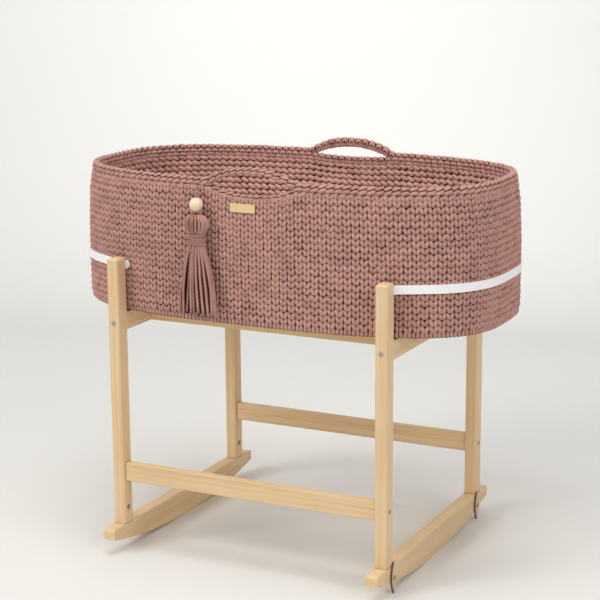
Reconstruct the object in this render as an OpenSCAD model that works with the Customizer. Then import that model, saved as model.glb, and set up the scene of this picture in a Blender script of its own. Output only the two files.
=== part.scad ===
// Bassinet on a rocking stand. A crocheted basket with a mattress rests on a beech
// frame, and a webbing strap at each end holds it between the posts.
// The origin is on the floor under the middle of the stand, with +X along the basket,
// +Y to the rear and +Z up. Front and rear name the Y sides, left and right the X sides.

/* [Stand] */
// Length over the posts, along X
stand_len = 575; // [480:1:700]
// Width over the posts, along Y
stand_wid = 482; // [400:1:580]
// Height of the posts' tops above the floor
stand_h = 576; // [530:1:700]
// Width of a post, along X
post_w = 24; // [20:1:30]
// Depth of a post, along Y
post_d = 30; // [25:1:40]
// Height of the rail tops, which carry the basket
seat_z = 470; // [380:1:480]
// Height of a rail
rail_h = 36; // [30:1:45]
// Thickness of a rail
rail_t = 18; // [16:1:22]
// Distance between the two support rails, centre to centre
support_span = 220; // [160:1:270]
// Height of the stretchers' centre above the floor
stretcher_z = 158; // [130:1:260]

/* [Rockers] */
// Height of a rocker at its middle
rocker_h = 53; // [46:1:66]
// Radius of the rocking edge
rocker_r = 1230; // [1000:10:1600]
// How far a rocker reaches past the posts
rocker_reach = 39; // [25:1:50]
// Length of a stopper
stopper_len = 59; // [50:1:64]
// Width of a stopper
stopper_w = 18; // [15:1:22]
// Thickness of a stopper
stopper_t = 4; // [3:0.5:6]

/* [Basket] */
// How far the basket reaches past the posts at each end
basket_reach = 137.5; // [110:0.5:165]
// Height of the rim above the seat
basket_h = 271; // [225:1:330]
// Thickness of the crocheted wall
wall_t = 12; // [10:1:15]
// Squareness of the oval outline: 2 is an ellipse, and more is squarer
squareness = 2.9; // [2.4:0.1:3.4]
// Height of the braided rim
rim_h = 16; // [13:1:20]
// Length of a handle's arch
handle_len = 184; // [150:1:220]
// Height of a handle's arch above the rim
handle_rise = 23.5; // [20:0.5:30]
// Thickness of the plywood base board
board_t = 8; // [6:1:10]
// Thickness of the mattress
mattress_t = 40; // [30:1:50]

/* [Straps] */
// Width of the webbing
strap_w = 16; // [13:1:20]
// Thickness of the webbing
strap_t = 2; // [1.5:0.1:2.5]
// Drop from the posts' tops to the webbing
strap_drop = 6; // [4:1:12]

/* [Tassel] */
// Place of the tassel along X
tassel_x = -87; // [-110:1:-75]
// Diameter of the wooden bead
bead_d = 25; // [20:1:30]
// Width of the tassel's head
head_w = 52; // [44:1:60]
// Height of the tassel's head
head_h = 38; // [32:1:44]
// Height of the wound band below the head
band_h = 19; // [15:1:24]
// Length of the hanging skirt
skirt_len = 129; // [105:1:155]
// Width of the skirt at its end
skirt_w = 82; // [70:1:95]
// Depth of the tassel, along Y
tassel_d = 30; // [24:1:36]

/* [Hidden] */
$fn = 64;

// Fits and clearances
fit_gap = 0.05;         // between a shank, dowel or nut and its hole
bolt_clear = 0.3;       // round a bolt or a screw in a clearance hole
head_clear = 0.5;       // round a screw head in its recess
basket_gap = 0.7;       // between the strap's tail and the basket
strap_gap = 0.4;        // between the strap and the basket's end
soft_gap = 0.3;         // between a soft piece and what it lies on
mattress_gap = 3;       // between the mattress and the rim's inner edge
stopper_gap = 0.2;      // each side of a stopper
tassel_gap = 5;         // between the wall and the tassel

// Frame
post_x = (stand_len - post_w) / 2;
post_y = (stand_wid - post_d) / 2;
post_in_x = post_x - post_w / 2;
post_in_y = post_y - post_d / 2;
rail_z = seat_z - rail_h / 2;
support_y = support_span / 2;
support_end_x = post_x - rail_t / 2;
edge_r = 3;
rail_edge_r = 2;
top_chamfer = 3;

// Fasteners, as diameters and lengths
screw_d = 4.8;
screw_head_d = 9;
screw_head_h = 2.5;
screw_bite = 28;        // how far a screw goes into the end grain
stretcher_recess = 4;   // depth of a stretcher screw's head below the post's face
bolt_d = 6;
bolt_head_d = 12;
bolt_head_h = 6;
bolt_key = 5;           // across the flats of the hex socket
bolt_recess = 8;        // height of the bolt's seat above the rocking edge
nut_d = 12;
nut_len = 16;
nut_rise = 31.5;        // height of a barrel nut above the rocker's top
nut_pocket = 18;
dowel_d = 6;
dowel_len = 24;
dowel_drop = 11;        // from a rail's centre down to its dowel
stopper_screw_d = 3.6;
stopper_screw_bite = 16;
strap_screw_d = 3.5;
strap_screw_bite = 18;
strap_screw_head_h = 1.4;
nut_z = rocker_h + nut_rise;

// Basket
ring_pts = 120;
basket_a = stand_len / 2 + basket_reach;
tail_x = post_in_x - 7.5;
basket_b = (post_in_y - strap_t - basket_gap)
    * pow(1 - pow(tail_x / basket_a, squareness), -1 / squareness);
wall_h = basket_h - rim_h;
wall_top_inset = 4;
wall_inset = wall_t + 1;
rim_z = seat_z + basket_h;
handle_x = 11;
board_a = basket_a - wall_inset;
board_b = basket_b - wall_inset;

// The wall's outer and inner profiles, from the bottom up: height above the seat, then inset
outer_profile = [
    [0, 9], [5, 4], [12, 1], [22, 0], [wall_h * 0.5, 0], [wall_h - 35, 0],
    [wall_h - 12, 2.5], [wall_h, wall_top_inset]
];
inner_profile = [
    [0, wall_inset], [board_t, wall_inset], [wall_h - 35, wall_inset], [wall_h, wall_top_inset + wall_t]
];

// The rim's section: distance out from its centre line, then height above the wall
rim_half = wall_t / 2 + 1;
rim_section = [
    [-rim_half + 1, 0], [rim_half - 1, 0], [rim_half, 3], [rim_half, rim_h - 5],
    [rim_half - 3, rim_h], [3 - rim_half, rim_h], [-rim_half, rim_h - 5], [-rim_half, 3]
];
rim_inset = wall_top_inset + wall_t / 2;

// Mattress
mattress_inset = rim_inset + rim_half + mattress_gap;
mattress_round = 10;
mattress_z = seat_z + board_t + soft_gap;

// Straps
strap_z = stand_h - strap_drop - strap_w;
strap_leave_x = post_x + 6;
strap_a = basket_a + strap_gap;
strap_b = basket_b + strap_gap;

// Stoppers, on the right rocker's outer face
stopper_x = stand_len / 2 + stopper_gap;
stopper_y = post_y - 12;
stopper_z = stopper_len / 2;
stopper_arc_r = (pow(stopper_len, 2) + pow(stopper_w, 2)) / (4 * stopper_w);

// Tag
tag_x = -2.5;
tag_drop = 51;          // from the rim down to the plate's centre
tag_size = [51, 1.2, 16];
tag_corner = 2.5;
tag_rivet_span = 43;
tag_z = rim_z - tag_drop;
tag_y = -wall_y(tag_x, tag_size[0] / 2) - 0.1;
rivet_d = 1.6;
rivet_head_d = 3.4;
rivet_len = 7;

// Tassel
loop_d = 4;
knot_d = 5.5;
loop_z = rim_z - 29;
bead_z = loop_z - knot_d - bead_d / 2;
loop_end_z = bead_z - bead_d / 2 + 1.5;
head_gap = 4;           // between the bead and the head, where the tassel tips
head_top = bead_z - bead_d / 2 - head_gap;
band_top = head_top - head_h;
skirt_top = band_top - band_h;
band_w = head_w - 8;
tassel_y = -wall_y(tassel_x, skirt_w / 2) - tassel_gap - tassel_d / 2;

// Colours
beech = [0.87, 0.75, 0.59];
birch = [0.85, 0.72, 0.60];
rose = [0.61, 0.46, 0.41];
rose_dark = [0.55, 0.41, 0.36];
white = [0.96, 0.96, 0.95];
steel = [0.72, 0.72, 0.73];
dark_steel = [0.30, 0.29, 0.28];
brass = [0.83, 0.69, 0.42];
bead_wood = [0.90, 0.80, 0.67];

// ---- Functions ----

// One point of the basket's oval at an angle seen from its centre
function oval_point(a, b, t) =
    let (r = pow(pow(abs(cos(t)) / a, squareness) + pow(abs(sin(t)) / b, squareness), -1 / squareness))
    [r * cos(t), r * sin(t)];

function oval(a, b) = [for (i = [0:ring_pts - 1]) oval_point(a, b, 360 * i / ring_pts)];

function level(points, z) = [for (p = points) [p[0], p[1], z]];

// Half-width of the basket's full outline at the nearest point of x +- reach to the middle
function wall_y(x, reach = 0) =
    let (near = max(0, abs(x) - reach))
    basket_b * pow(1 - pow(near / basket_a, squareness), 1 / squareness);

// Height of the rocking edge above the floor
function rocker_edge(y) = rocker_r - sqrt(rocker_r * rocker_r - y * y);

// How far the rim lifts off the wall to make the handles
function handle_lift(x) =
    let (u = abs(x - handle_x) / (handle_len / 2))
    u < 1 ? handle_rise * (1 - pow(u, 2.2)) : 0;

// Two triangles for each cell between rings, wrapping round each ring
function skin(first, last, count, next) = [
    for (i = [first:last], j = [0:count - 1])
        let (k = (j + 1) % count, m = next(i))
        each [
            [i * count + j, m * count + j, i * count + k],
            [i * count + k, m * count + j, m * count + k]
        ]
];

// The angle at which a line from the strap's last point on the post touches the oval
function strap_touch() =
    let (
        steps = [for (i = [1:ring_pts / 4 - 1]) 360 * i / ring_pts],
        lean = [for (t = steps) let (p = oval_point(strap_a, strap_b, t))
            p[0] > strap_leave_x + 5
                ? atan2(post_in_y - strap_t - p[1], p[0] - strap_leave_x)
                : 90]
    )
    steps[search(min(lean), lean)[0]];

// ---- Shared shapes ----

module rounded_rect(x, y, r) {
    square([x - 2 * r, y], center = true);
    square([x, y - 2 * r], center = true);
    for (sx = [-1, 1], sy = [-1, 1])
        translate([sx * (x / 2 - r), sy * (y / 2 - r)])
            circle(r = r, $fn = 32);
}

// A closed tube of rings that joins its last ring to its first
module ring_tube(rings) {
    count = len(rings[0]);
    last = len(rings) - 1;
    polyhedron(
        points = [for (r = rings) each r],
        faces = skin(0, last, count, function (i) i == last ? 0 : i + 1),
        convexity = 6
    );
}

// A solid of rings from the bottom up, closed by flat ends
module ring_stack(rings) {
    count = len(rings[0]);
    last = len(rings) - 1;
    polyhedron(
        points = [for (r = rings) each r],
        faces = concat(
            [[for (j = [0:count - 1]) j]],
            skin(0, last - 1, count, function (i) i + 1),
            [[for (j = [count - 1:-1:0]) last * count + j]]
        ),
        convexity = 4
    );
}

// An oval turning: a profile of width and height, with one depth ratio
module oval_turning(profile, depth) {
    sides = 40;
    ring_stack([for (p = profile)
        [for (i = [0:sides - 1])
            [p[0] / 2 * cos(360 * i / sides), p[0] / 2 * depth * sin(360 * i / sides), p[1]]]]);
}

// A cylinder that starts at the origin and runs along the given direction of X or Y
module rod_x(dir, d, l) {
    rotate([0, dir * 90, 0]) cylinder(d = d, h = l);
}

module rod_y(dir, d, l) {
    rotate([-dir * 90, 0, 0]) cylinder(d = d, h = l);
}

// A cross-head screw along -Z, with the top of its head at the origin
module screw(d, l, head_d, head_h) {
    difference() {
        union() {
            translate([0, 0, -head_h]) cylinder(d = head_d, h = head_h);
            translate([0, 0, -head_h - l]) cylinder(d = d, h = l + head_h / 2);
        }
        for (turn = [0, 90])
            rotate([0, 0, turn])
                translate([-head_d * 0.3, -head_d * 0.06, -head_h * 0.5])
                    cube([head_d * 0.6, head_d * 0.12, head_h]);
    }
}

// Screws, each child a screw along -Z, turned to point inwards along X or Y
module inward_x(sx) {
    rotate([0, sx * 90, 0]) children();
}

module inward_y(sy) {
    rotate([-sy * 90, 0, 0]) children();
}

// ---- Stand ----

// Post outline seen from one side, chamfered at the top
module post_side(w, h) {
    polygon([
        [-w / 2 - 1, -1], [w / 2 + 1, -1], [w / 2 + 1, h - top_chamfer - 1],
        [w / 2 - top_chamfer, h], [-w / 2 + top_chamfer, h], [-w / 2 - 1, h - top_chamfer - 1]
    ]);
}

module post_blank() {
    h = stand_h - rocker_h;
    intersection() {
        linear_extrude(h) rounded_rect(post_w, post_d, edge_r);
        rotate([90, 0, 0]) linear_extrude(post_d + 4, center = true) post_side(post_w, h);
        rotate([90, 0, 90]) linear_extrude(post_w + 4, center = true) post_side(post_d, h);
    }
}

module post(sx, sy) {
    recess_d = screw_head_d + 2 * head_clear;
    clear_d = screw_d + 2 * bolt_clear;
    color(beech)
        difference() {
            translate([sx * post_x, sy * post_y, rocker_h]) post_blank();
            // barrel nut, entered from the inner face, and the bolt through it
            translate([sx * post_in_x, sy * post_y, nut_z])
                translate([-sx, 0, 0]) rod_x(sx, nut_d, nut_pocket + 1);
            translate([sx * post_x, sy * post_y, rocker_h - 1])
                cylinder(d = bolt_d + 2 * bolt_clear, h = nut_rise + nut_d / 2 + 6);
            // cross-rail screw and its head
            translate([sx * post_x, sy * (stand_wid / 2 + 1), rail_z]) {
                rod_y(-sy, recess_d, screw_head_h + 1);
                rod_y(-sy, clear_d, post_d + 2);
            }
            // stretcher screw and its recess
            translate([sx * (stand_len / 2 + 1), sy * post_y, stretcher_z]) {
                rod_x(-sx, recess_d, stretcher_recess + screw_head_h + 1);
                rod_x(-sx, clear_d, post_w + 2);
            }
            // dowels of the cross rail and of the stretcher
            translate([sx * post_x, sy * (post_in_y - 1), rail_z - dowel_drop])
                rod_y(sy, dowel_d + 2 * fit_gap, dowel_len / 2 + 1.5);
            translate([sx * (post_in_x - 1), sy * post_y, stretcher_z - dowel_drop])
                rod_x(sx, dowel_d + 2 * fit_gap, dowel_len / 2 + 1.5);
            // strap screw
            translate([sx * post_x, sy * (post_in_y - 1), strap_z + strap_w / 2])
                rod_y(sy, strap_screw_d + 2 * fit_gap, strap_screw_bite + 1.5);
        }
}

module post_front_left() post(-1, -1);
module post_front_right() post(1, -1);
module post_rear_left() post(-1, 1);
module post_rear_right() post(1, 1);

module rocker(sx) {
    corner = 6;
    len_y = stand_wid + 2 * rocker_reach;
    color(beech)
        difference() {
            translate([sx * post_x, 0, 0])
                rotate([90, 0, 90])
                    linear_extrude(post_w, center = true)
                        intersection() {
                            translate([0, rocker_h / 2 - corner])
                                rounded_rect(len_y, rocker_h + 2 * corner, corner);
                            translate([0, rocker_r]) circle(r = rocker_r, $fn = 256);
                        }
            for (sy = [-1, 1])
                translate([sx * post_x, sy * post_y, -1]) {
                    cylinder(d = bolt_head_d + 2 * head_clear + 1, h = rocker_edge(post_y) + bolt_recess + 1);
                    cylinder(d = bolt_d + 2 * bolt_clear, h = rocker_h + 2);
                }
            if (sx > 0)
                for (sy = [-1, 1])
                    translate([stand_len / 2 + 1, sy * stopper_y, stopper_z])
                        rod_x(-1, stopper_screw_d - 0.1 + 2 * fit_gap, stopper_screw_bite + 2);
        }
}

module rocker_left() rocker(-1);
module rocker_right() rocker(1);

// A rail along X, centred, with rounded long edges
module rail_x(l) {
    rotate([90, 0, 90]) linear_extrude(l, center = true) rounded_rect(rail_t, rail_h, rail_edge_r);
}

module stretcher(sy) {
    color(beech)
        translate([0, sy * post_y, stretcher_z])
            difference() {
                rail_x(2 * post_in_x);
                for (sx = [-1, 1])
                    translate([sx * (post_in_x + 1), 0, 0]) {
                        rod_x(-sx, screw_d + 2 * fit_gap, screw_bite + 3);
                        translate([0, 0, -dowel_drop]) rod_x(-sx, dowel_d + 2 * fit_gap, dowel_len / 2 + 1.5);
                    }
            }
}

module stretcher_front() stretcher(-1);
module stretcher_rear() stretcher(1);

module cross_rail(sx) {
    color(beech)
        translate([sx * post_x, 0, rail_z])
            difference() {
                rotate([0, 0, 90]) rail_x(2 * post_in_y);
                for (sy = [-1, 1]) {
                    translate([0, sy * (post_in_y + 1), 0]) {
                        rod_y(-sy, screw_d + 2 * fit_gap, screw_bite + 3);
                        translate([0, 0, -dowel_drop]) rod_y(-sy, dowel_d + 2 * fit_gap, dowel_len / 2 + 1.5);
                    }
                    translate([sx * (rail_t / 2 + 1), sy * support_y, 0]) {
                        rod_x(-sx, screw_head_d + 2 * head_clear, screw_head_h + 1);
                        rod_x(-sx, screw_d + 2 * bolt_clear, rail_t + 2);
                    }
                    translate([-sx * (rail_t / 2 + 1), sy * support_y, -dowel_drop])
                        rod_x(sx, dowel_d + 2 * fit_gap, dowel_len / 2 - 1.5);
                }
            }
}

module cross_rail_left() cross_rail(-1);
module cross_rail_right() cross_rail(1);

module support_rail(sy) {
    color(beech)
        translate([0, sy * support_y, rail_z])
            difference() {
                rail_x(2 * support_end_x);
                for (sx = [-1, 1])
                    translate([sx * (support_end_x + 1), 0, 0]) {
                        rod_x(-sx, screw_d + 2 * fit_gap, screw_bite + 3);
                        translate([0, 0, -dowel_drop]) rod_x(-sx, dowel_d + 2 * fit_gap, dowel_len / 2 + 4.5);
                    }
            }
}

module support_rail_front() support_rail(-1);
module support_rail_rear() support_rail(1);

// ---- Fasteners ----

module rocker_bolts() {
    seat = rocker_edge(post_y) + bolt_recess;
    color(steel)
        for (sx = [-1, 1], sy = [-1, 1])
            translate([sx * post_x, sy * post_y, seat])
                difference() {
                    union() {
                        translate([0, 0, -bolt_head_h]) cylinder(d = bolt_head_d, h = bolt_head_h);
                        translate([0, 0, -1]) cylinder(d = bolt_d, h = nut_z - seat + nut_d / 2 + 3);
                    }
                    translate([0, 0, -bolt_head_h - 1]) cylinder(d = bolt_key / cos(30), h = 4, $fn = 6);
                }
}

module barrel_nuts() {
    color(steel)
        for (sx = [-1, 1], sy = [-1, 1])
            translate([sx * post_x, sy * post_y, nut_z])
                difference() {
                    rotate([0, 90, 0]) cylinder(d = nut_d - 2 * fit_gap, h = nut_len - 4, center = true);
                    cylinder(d = bolt_d + 2 * fit_gap, h = nut_d + 2, center = true);
                }
}

module cross_rail_screws() {
    color(steel)
        for (sx = [-1, 1], sy = [-1, 1])
            translate([sx * post_x, sy * stand_wid / 2, rail_z])
                inward_y(sy) screw(screw_d, post_d - screw_head_h + screw_bite, screw_head_d, screw_head_h);
}

module stretcher_screws() {
    color(dark_steel)
        for (sx = [-1, 1], sy = [-1, 1])
            translate([sx * (stand_len / 2 - stretcher_recess), sy * post_y, stretcher_z])
                inward_x(sx)
                    screw(screw_d, post_w - stretcher_recess - screw_head_h + screw_bite,
                        screw_head_d, screw_head_h);
}

module support_rail_screws() {
    color(dark_steel)
        for (sx = [-1, 1], sy = [-1, 1])
            translate([sx * (post_x + rail_t / 2), sy * support_y, rail_z])
                inward_x(sx) screw(screw_d, rail_t - screw_head_h + screw_bite, screw_head_d, screw_head_h);
}

module rail_dowels() {
    color(birch)
        for (sx = [-1, 1], sy = [-1, 1]) {
            translate([sx * post_x, sy * (post_in_y + dowel_len / 2), rail_z - dowel_drop])
                rod_y(-sy, dowel_d, dowel_len);
            translate([sx * (support_end_x + dowel_len / 2 - 3), sy * support_y, rail_z - dowel_drop])
                rod_x(-sx, dowel_d, dowel_len);
        }
}

module stretcher_dowels() {
    color(birch)
        for (sx = [-1, 1], sy = [-1, 1])
            translate([sx * (post_in_x + dowel_len / 2), sy * post_y, stretcher_z - dowel_drop])
                rod_x(-sx, dowel_d, dowel_len);
}

// ---- Straps ----

// One face of the right strap, from the front post round the basket's end to the rear post
function strap_face(out) =
    let (touch = strap_touch(), y = post_in_y - strap_t + out)
    concat(
        [[tail_x, -y], [strap_leave_x, -y]],
        [for (i = [0:ring_pts]) let (t = -touch + 2 * touch * i / ring_pts)
            oval_point(strap_a + out, strap_b + out, t)],
        [[strap_leave_x, y], [tail_x, y]]
    );

module strap(sx) {
    mid_z = strap_z + strap_w / 2;
    inner = strap_face(0);
    outer = strap_face(strap_t);
    color(white)
        mirror([sx < 0 ? 1 : 0, 0, 0])
            difference() {
                translate([0, 0, strap_z])
                    linear_extrude(strap_w)
                        polygon(concat(outer, [for (i = [len(inner) - 1:-1:0]) inner[i]]));
                for (sy = [-1, 1]) {
                    translate([post_x, sy * (post_in_y - strap_t - 1), mid_z])
                        rod_y(sy, strap_screw_d + 2 * fit_gap, strap_t + 2);
                    // the webbing's end is cut round
                    translate([tail_x - 1, sy * (post_in_y - strap_t / 2), mid_z])
                        difference() {
                            translate([0, -strap_t, -strap_w / 2 - 1])
                                cube([strap_w / 4 + 1, 2 * strap_t, strap_w + 2]);
                            translate([strap_w / 2 + 1, 0, 0])
                                rotate([90, 0, 0]) cylinder(d = strap_w, h = 3 * strap_t, center = true);
                        }
                }
            }
}

module strap_left() strap(-1);
module strap_right() strap(1);

module strap_screws() {
    color(steel)
        for (sx = [-1, 1], sy = [-1, 1])
            translate([sx * post_x, sy * (post_in_y - strap_t - strap_screw_head_h), strap_z + strap_w / 2])
                inward_y(-sy) screw(strap_screw_d, strap_t + strap_screw_bite, 8, strap_screw_head_h);
}

// ---- Stoppers ----

module stopper(sy) {
    color(birch)
        translate([stopper_x, sy * stopper_y, stopper_z])
            rotate([90, 0, 90])
                linear_extrude(stopper_t)
                    difference() {
                        intersection_for (side = [-1, 1])
                            translate([side * (stopper_arc_r - stopper_w / 2), 0])
                                circle(r = stopper_arc_r, $fn = 128);
                        circle(d = stopper_screw_d + 2 * fit_gap);
                    }
}

module stopper_front() stopper(-1);
module stopper_rear() stopper(1);

module stopper_screws() {
    head_h = 2.2;
    color(steel)
        for (sy = [-1, 1])
            translate([stopper_x + stopper_t + stopper_gap + head_h, sy * stopper_y, stopper_z])
                inward_x(1) {
                    screw(stopper_screw_d, stopper_t + stopper_gap, screw_head_d, head_h);
                    translate([0, 0, -head_h - stopper_t - 2 * stopper_gap - stopper_screw_bite])
                        cylinder(d = stopper_screw_d - 0.1, h = stopper_screw_bite + 1);
                }
}

// ---- Basket ----

module base_board() {
    color(birch)
        translate([0, 0, seat_z]) linear_extrude(board_t) polygon(oval(board_a, board_b));
}

module basket_wall() {
    profile = concat(outer_profile, [for (i = [len(inner_profile) - 1:-1:0]) inner_profile[i]]);
    color(rose)
        ring_tube([for (p = profile) level(oval(basket_a - p[1], basket_b - p[1]), seat_z + p[0])]);
}

module rim_band() {
    color(rose)
        ring_tube([for (s = rim_section)
            [for (p = oval(basket_a - rim_inset + s[0], basket_b - rim_inset + s[0]))
                [p[0], p[1], seat_z + wall_h + s[1] + handle_lift(p[0])]]]);
}

module tag_plate() {
    color(brass)
        translate([tag_x, tag_y, tag_z])
            rotate([90, 0, 0])
                linear_extrude(tag_size[1])
                    difference() {
                        rounded_rect(tag_size[0], tag_size[2], tag_corner);
                        for (sx = [-1, 1])
                            translate([sx * tag_rivet_span / 2, 0]) circle(d = rivet_d + 2 * fit_gap);
                    }
}

module tag_rivets() {
    color(brass)
        for (sx = [-1, 1])
            translate([tag_x + sx * tag_rivet_span / 2, tag_y - tag_size[1], tag_z]) {
                rod_y(-1, rivet_head_d, 0.8);
                rod_y(1, rivet_d, rivet_len);
            }
}

module mattress() {
    a = basket_a - mattress_inset;
    b = basket_b - mattress_inset;
    arc = [for (t = [0:22.5:90]) [mattress_round * (1 - sin(t)), mattress_round * (1 - cos(t))]];
    lower = [for (p = arc) [p[0], p[1]]];
    upper = [for (i = [len(arc) - 1:-1:0]) [arc[i][0], mattress_t - arc[i][1]]];
    color(white)
        ring_stack([for (p = concat(lower, upper)) level(oval(a - p[0], b - p[0]), mattress_z + p[1])]);
}

// ---- Tassel ----

module tassel_loop() {
    start_y = -wall_y(tassel_x) - soft_gap;
    color(rose_dark)
        translate([tassel_x, 0, 0]) {
            translate([0, start_y, loop_z]) rod_y(-1, loop_d, start_y - tassel_y);
            translate([0, tassel_y, loop_z]) sphere(d = knot_d);
            translate([0, tassel_y, loop_end_z]) cylinder(d = loop_d, h = loop_z - loop_end_z);
        }
}

module tassel_bead() {
    color(bead_wood)
        translate([tassel_x, tassel_y, bead_z])
            difference() {
                sphere(d = bead_d);
                cylinder(d = loop_d + 2 * soft_gap, h = bead_d + 2, center = true);
            }
}

module tassel_head() {
    color(rose)
        translate([tassel_x, tassel_y, band_top])
            oval_turning([
                [band_w, 0], [head_w - 2, head_h * 0.25], [head_w, head_h * 0.5],
                [head_w * 0.92, head_h * 0.74], [head_w * 0.68, head_h * 0.9], [head_w * 0.3, head_h]
            ], tassel_d / head_w);
}

module tassel_band() {
    color(rose_dark)
        translate([tassel_x, tassel_y, skirt_top])
            oval_turning([
                [band_w - 2, 0], [band_w, band_h * 0.15], [band_w, band_h * 0.85], [band_w - 2, band_h]
            ], tassel_d / head_w);
}

module tassel_skirt() {
    color(rose)
        translate([tassel_x, tassel_y, skirt_top - skirt_len])
            oval_turning([
                [skirt_w, 0], [skirt_w * 0.96, skirt_len * 0.25], [skirt_w * 0.85, skirt_len * 0.6],
                [band_w * 1.25, skirt_len * 0.85], [band_w, skirt_len]
            ], tassel_d / skirt_w);
}

post_front_left();
post_front_right();
post_rear_left();
post_rear_right();
rocker_left();
rocker_right();
stretcher_front();
stretcher_rear();
cross_rail_left();
cross_rail_right();
support_rail_front();
support_rail_rear();
rocker_bolts();
barrel_nuts();
cross_rail_screws();
stretcher_screws();
support_rail_screws();
rail_dowels();
stretcher_dowels();
strap_left();
strap_right();
strap_screws();
stopper_front();
stopper_rear();
stopper_screws();
base_board();
basket_wall();
rim_band();
tag_plate();
tag_rivets();
mattress();
tassel_loop();
tassel_bead();
tassel_head();
tassel_band();
tassel_skirt();
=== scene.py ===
"""A crocheted bassinet on a beech rocking stand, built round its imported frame."""
import math
import random

import bmesh
import bpy
import numpy as np
from mathutils import Matrix, Vector


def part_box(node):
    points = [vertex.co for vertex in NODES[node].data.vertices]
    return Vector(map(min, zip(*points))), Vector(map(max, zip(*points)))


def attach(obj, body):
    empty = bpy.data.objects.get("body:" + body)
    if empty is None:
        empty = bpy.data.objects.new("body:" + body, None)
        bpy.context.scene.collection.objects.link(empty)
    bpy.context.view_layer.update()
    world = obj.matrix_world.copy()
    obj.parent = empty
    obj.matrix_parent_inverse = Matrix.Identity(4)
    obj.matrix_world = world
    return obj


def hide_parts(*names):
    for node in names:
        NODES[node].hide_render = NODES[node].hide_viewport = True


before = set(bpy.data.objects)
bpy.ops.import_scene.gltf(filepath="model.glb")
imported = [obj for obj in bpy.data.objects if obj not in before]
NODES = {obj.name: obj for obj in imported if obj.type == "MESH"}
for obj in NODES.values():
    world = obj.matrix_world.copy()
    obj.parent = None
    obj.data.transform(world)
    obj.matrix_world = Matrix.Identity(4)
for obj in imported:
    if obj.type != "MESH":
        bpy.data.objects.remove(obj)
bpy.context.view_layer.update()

MM = 0.001
UP = Vector((0, 0, 1))

# ---- Sizes, in metres, that the frame doesn't state ----
SQUARENESS = 2.9            # of the basket's oval outline
WALL_THICK = 13 * MM        # crochet wall with its inner bumps
STITCH_WIDE = 15.4 * MM     # one V stitch along the wall
STITCH_HIGH = 11.75 * MM
YARN = 0.82 * MM            # one unit of the stitch drawings
RIM_HIGH = 16 * MM          # height of the rim braid
HANDLE_X = 11 * MM          # middle of both handles
HANDLE_LONG = 184 * MM
PAD_SHRINK = 5 * MM         # the mattress starts this much small, and is filled
PAD_SWELL = 9 * MM          # the most that filling moves any point of it
PIPING = 2.0 * MM           # radius of the piping round the mattress
EDGE_ROW = 14 * MM          # the row of short stitches round the base
CHAIN_HIGH = 6 * MM         # what shows of the braid under the rim
LIP_RISE = 1 * MM           # that braid's middle, above the wall's top
FRONT_SAG = 18 * MM         # how far the wall's edge drops in the middle of the front handle
REAR_SAG = 5 * MM
SAG_REACH = 200 * MM        # how far down the wall the drop is felt
TUCK_DROP = 4 * MM          # middle of the last row, which tucks under that braid
END_LEAN = 0.012            # how much shorter the basket is at its top
RIM_INSET = 11 * MM         # middle line of the rim, in from the wall's face
RIM_DROP = 7.2 * MM         # middle line of the rim, below its top
STRAY = 0.35 * MM           # how unevenly the wall's stitches sit, along it and up it
STRAY_OUT = 0.3 * MM
TASSEL_CORD = 2.9 * MM      # radius of one hanging strand
SEAM = 0.45 * MM            # radius of the shadow line at a joint of the frame

# ---- How unevenly stitches are laid: turn in radians, then share of size ----
OUTSIDE_JITTER = (0.11, 0.06)
INSIDE_JITTER = (0.09, 0.07)
BRAID_JITTER = (0.05, 0.05)
EDGE_JITTER = (0.05, 0.04)

# ---- The basket's own box, from the frame ----
WALL_LOW, WALL_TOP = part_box("basket_wall")
_, RIM_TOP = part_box("rim_band")
OVAL_A, OVAL_B = WALL_TOP.x, WALL_TOP.y
SEAT_Z = WALL_LOW.z
WALL_Z = WALL_TOP.z
HANDLE_RISE = RIM_TOP.z - WALL_Z - RIM_HIGH


# ---------------------------------------------------------------- node graphs

class Value:
    """A socket of a node graph. Arithmetic on it adds Math nodes."""

    def __init__(self, graph, socket):
        self.graph = graph
        self.socket = socket

    def __getitem__(self, name):
        return Value(self.graph, self.socket.node.outputs[name])

    def __add__(self, other):
        return self.graph.math("ADD", self, other)

    def __sub__(self, other):
        return self.graph.math("SUBTRACT", self, other)

    def __rsub__(self, other):
        return self.graph.math("SUBTRACT", other, self)

    def __mul__(self, other):
        return self.graph.math("MULTIPLY", self, other)

    __radd__ = __add__
    __rmul__ = __mul__

    def sin(self):
        return self.graph.math("SINE", self)

    def abs(self):
        return self.graph.math("ABSOLUTE", self)

    def ramp(self, low, high):
        """0 below low, 1 above high, and smooth between."""
        return self.graph.node("ShaderNodeMapRange", {"interpolation_type": "SMOOTHSTEP"},
                               {"Value": self, "From Min": low, "From Max": high})


def switched_on(value):
    """The output that a node's data type has switched on."""
    made = value.socket.node
    return Value(value.graph, next(s for s in made.outputs if s.enabled))


class Graph:
    """A node tree with one way to add a node."""

    def __init__(self, tree):
        self.tree = tree
        self.tree.nodes.clear()

    def node(self, kind, settings=None, inputs=None):
        made = self.tree.nodes.new(kind)
        for key, setting in (settings or {}).items():
            setattr(made, key, setting)
        for key, value in (inputs or {}).items():
            socket = self._socket(made.inputs, key)
            if isinstance(value, Value):
                self.tree.links.new(value.socket, socket)
            else:
                socket.default_value = value
        return Value(self, made.outputs[0]) if made.outputs else made

    def math(self, operation, *values):
        return self.node("ShaderNodeMath", {"operation": operation}, dict(enumerate(values)))

    def mix(self, factor, first, second):
        """One colour between two others."""
        made = self.node("ShaderNodeMix", {"data_type": "RGBA"},
                         {"Factor": factor, "A": first, "B": second})
        return switched_on(made)

    @staticmethod
    def _socket(sockets, key):
        if isinstance(key, int):
            return sockets[key]
        return next(s for s in sockets if s.name == key and s.enabled)


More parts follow.
